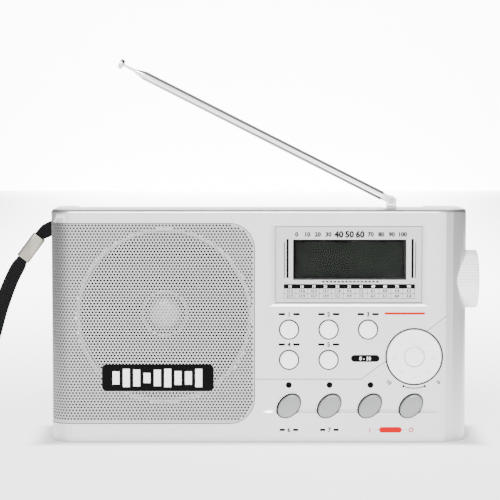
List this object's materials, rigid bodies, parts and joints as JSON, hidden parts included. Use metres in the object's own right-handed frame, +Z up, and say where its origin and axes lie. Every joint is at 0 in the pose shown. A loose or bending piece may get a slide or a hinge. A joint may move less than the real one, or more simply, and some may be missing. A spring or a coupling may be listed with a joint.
{
  "type": "portable shortwave receiver",
  "caption": "Portable world band radio: perforated speaker grille, clock display, press keys, thumb dial, side tuning knob, telescopic antenna and wrist strap.",
  "frame": {"origin": "centre of the flat base, on the surface that the receiver stands on", "axes": "+X to the right along the case, +Y to the back (the front faces -Y), +Z up"},
  "size_m": [0.2577, 0.048, 0.1896],
  "materials": {
    "case": "satin silver paint on moulded plastic",
    "grille": "perforated sheet, satin silver",
    "white_plastic": "pearl white, semi-gloss",
    "key_grey": "grey, semi-gloss",
    "black_plastic": "black, satin",
    "panel": "silver white print panel",
    "window": "clear dark window",
    "chrome": "bright chrome plate",
    "steel": "plain steel",
    "nickel": "nickel plated, brushed",
    "paper": "black speaker cone paper",
    "magnet": "dark ferrite",
    "board": "green circuit board",
    "copper": "enamelled copper wire",
    "cell": "plain printed sleeve",
    "webbing": "black woven tape"
  },
  "bodies": {
    "root": {"front_shell": "case", "rear_shell": "case", "speaker_grille": "grille", "speaker_basket": "steel", "speaker_magnet": "magnet", "speaker_cone": "paper", "speaker_dust_cap": "grille", "display_panel": "panel", "display_window": "window", "lcd_module": "black_plastic", "main_board": "board", "tuner_board": "board", "volume_potentiometer": "steel", "tuning_capacitor": "steel", "band_switch_body": "steel", "antenna_foot": "steel", "battery_contacts_left": "steel", "battery_contacts_right": "steel", "ferrite_rod": "magnet", "ferrite_coil": "copper", "earphone_jack": "black_plastic", "dc_jack": "black_plastic", "strap_pin": "steel", "strap_loop": "webbing", "strap_crimp": "nickel", "case_screw_1": "steel", "case_screw_2": "steel", "case_screw_3": "steel", "case_screw_4": "steel", "indicator_1": "black_plastic", "battery_1": "cell", "indicator_2": "black_plastic", "battery_2": "cell", "indicator_3": "black_plastic", "battery_3": "cell"},
    "battery_door": {"battery_door": "case"},
    "volume": {"volume_dial": "white_plastic", "volume_cap": "white_plastic"},
    "tuning": {"tuning_knob": "white_plastic", "tuning_shaft": "steel"},
    "capacitor_gear": {"tuning_gear": "white_plastic"},
    "band_slider": {"band_switch_slider": "black_plastic"},
    "turret": {"antenna_turret": "chrome", "antenna_pin": "chrome"},
    "mast_1": {"antenna_tube_1": "chrome"},
    "mast_2": {"antenna_tube_2": "chrome"},
    "mast_3": {"antenna_tube_3": "chrome"},
    "mast_4": {"antenna_tube_4": "chrome"},
    "mast_rod": {"antenna_rod": "chrome", "antenna_tip": "chrome"},
    "key_1": {"round_key_1": "white_plastic"},
    "key_2": {"round_key_2": "white_plastic"},
    "key_3": {"round_key_3": "white_plastic"},
    "key_4": {"round_key_4": "white_plastic"},
    "key_5": {"round_key_5": "white_plastic"},
    "oval_1": {"oval_key_1": "key_grey"},
    "oval_2": {"oval_key_2": "key_grey"},
    "oval_3": {"oval_key_3": "key_grey"},
    "oval_4": {"oval_key_4": "key_grey"}
  },
  "joints": [
    {"name": "battery_door_hinge", "type": "hinge", "parent": "root", "child": "battery_door", "pos_m": [0.0485, 0.02175, 0.0102], "axis": [-1, 0, 0], "range_deg": [0, 95]},
    {"name": "volume_turn", "type": "hinge", "parent": "root", "child": "volume", "pos_m": [0.0764, -0.023, 0.04265], "axis": [0, 1, 0], "range_deg": [-150, 150]},
    {"name": "tuning_turn", "type": "hinge", "parent": "root", "child": "tuning", "pos_m": [0.0975, -0.0045, 0.0797], "axis": [1, 0, 0], "range_deg": [-270, 270]},
    {"name": "capacitor_turn", "type": "hinge", "parent": "root", "child": "capacitor_gear", "pos_m": [0.082, 0.0065, 0.0704], "axis": [1, 0, 0], "range_deg": [-90, 90]},
    {"name": "band_slide", "type": "slide", "parent": "root", "child": "band_slider", "axis": [0, 0, 1], "range_m": [0, 0.004]},
    {"name": "round_key_1_press", "type": "slide", "parent": "root", "child": "key_1", "axis": [0, 1, 0], "range_m": [0, 0.0008], "stiffness_N_per_m": 400},
    {"name": "round_key_2_press", "type": "slide", "parent": "root", "child": "key_2", "axis": [0, 1, 0], "range_m": [0, 0.0008], "stiffness_N_per_m": 400},
    {"name": "round_key_3_press", "type": "slide", "parent": "root", "child": "key_3", "axis": [0, 1, 0], "range_m": [0, 0.0008], "stiffness_N_per_m": 400},
    {"name": "round_key_4_press", "type": "slide", "parent": "root", "child": "key_4", "axis": [0, 1, 0], "range_m": [0, 0.0008], "stiffness_N_per_m": 400},
    {"name": "round_key_5_press", "type": "slide", "parent": "root", "child": "key_5", "axis": [0, 1, 0], "range_m": [0, 0.0008], "stiffness_N_per_m": 400},
    {"name": "oval_key_1_press", "type": "slide", "parent": "root", "child": "oval_1", "axis": [0, 1, 0], "range_m": [0, 0.0015], "stiffness_N_per_m": 400},
    {"name": "oval_key_2_press", "type": "slide", "parent": "root", "child": "oval_2", "axis": [0, 1, 0], "range_m": [0, 0.0015], "stiffness_N_per_m": 400},
    {"name": "oval_key_3_press", "type": "slide", "parent": "root", "child": "oval_3", "axis": [0, 1, 0], "range_m": [0, 0.0015], "stiffness_N_per_m": 400},
    {"name": "oval_key_4_press", "type": "slide", "parent": "root", "child": "oval_4", "axis": [0, 1, 0], "range_m": [0, 0.0015], "stiffness_N_per_m": 400},
    {"name": "antenna_swivel", "type": "hinge", "parent": "root", "child": "turret", "pos_m": [0.0674, 0.0165, 0.1118], "axis": [0, 0, 1], "continuous": true},
    {"name": "antenna_tilt", "type": "hinge", "parent": "turret", "child": "mast_1", "pos_m": [0.0674, 0.0165, 0.1179], "axis": [0, 1, 0], "range_deg": [-26.8, 63.2]},
    {"name": "section_2_slide", "type": "slide", "parent": "mast_1", "child": "mast_2", "axis": [-0.8926, 0, 0.4509], "range_m": [0, 0.115]},
    {"name": "section_3_slide", "type": "slide", "parent": "mast_2", "child": "mast_3", "axis": [-0.8926, 0, 0.4509], "range_m": [0, 0.115]},
    {"name": "section_4_slide", "type": "slide", "parent": "mast_3", "child": "mast_4", "axis": [-0.8926, 0, 0.4509], "range_m": [0, 0.115]},
    {"name": "rod_slide", "type": "slide", "parent": "mast_4", "child": "mast_rod", "axis": [-0.8926, 0, 0.4509], "range_m": [-0.005, 0.112]}
  ],
  "couplings": [
    {"joint": "capacitor_turn", "follows": "tuning_turn", "ratio": -0.33333}
  ]
}
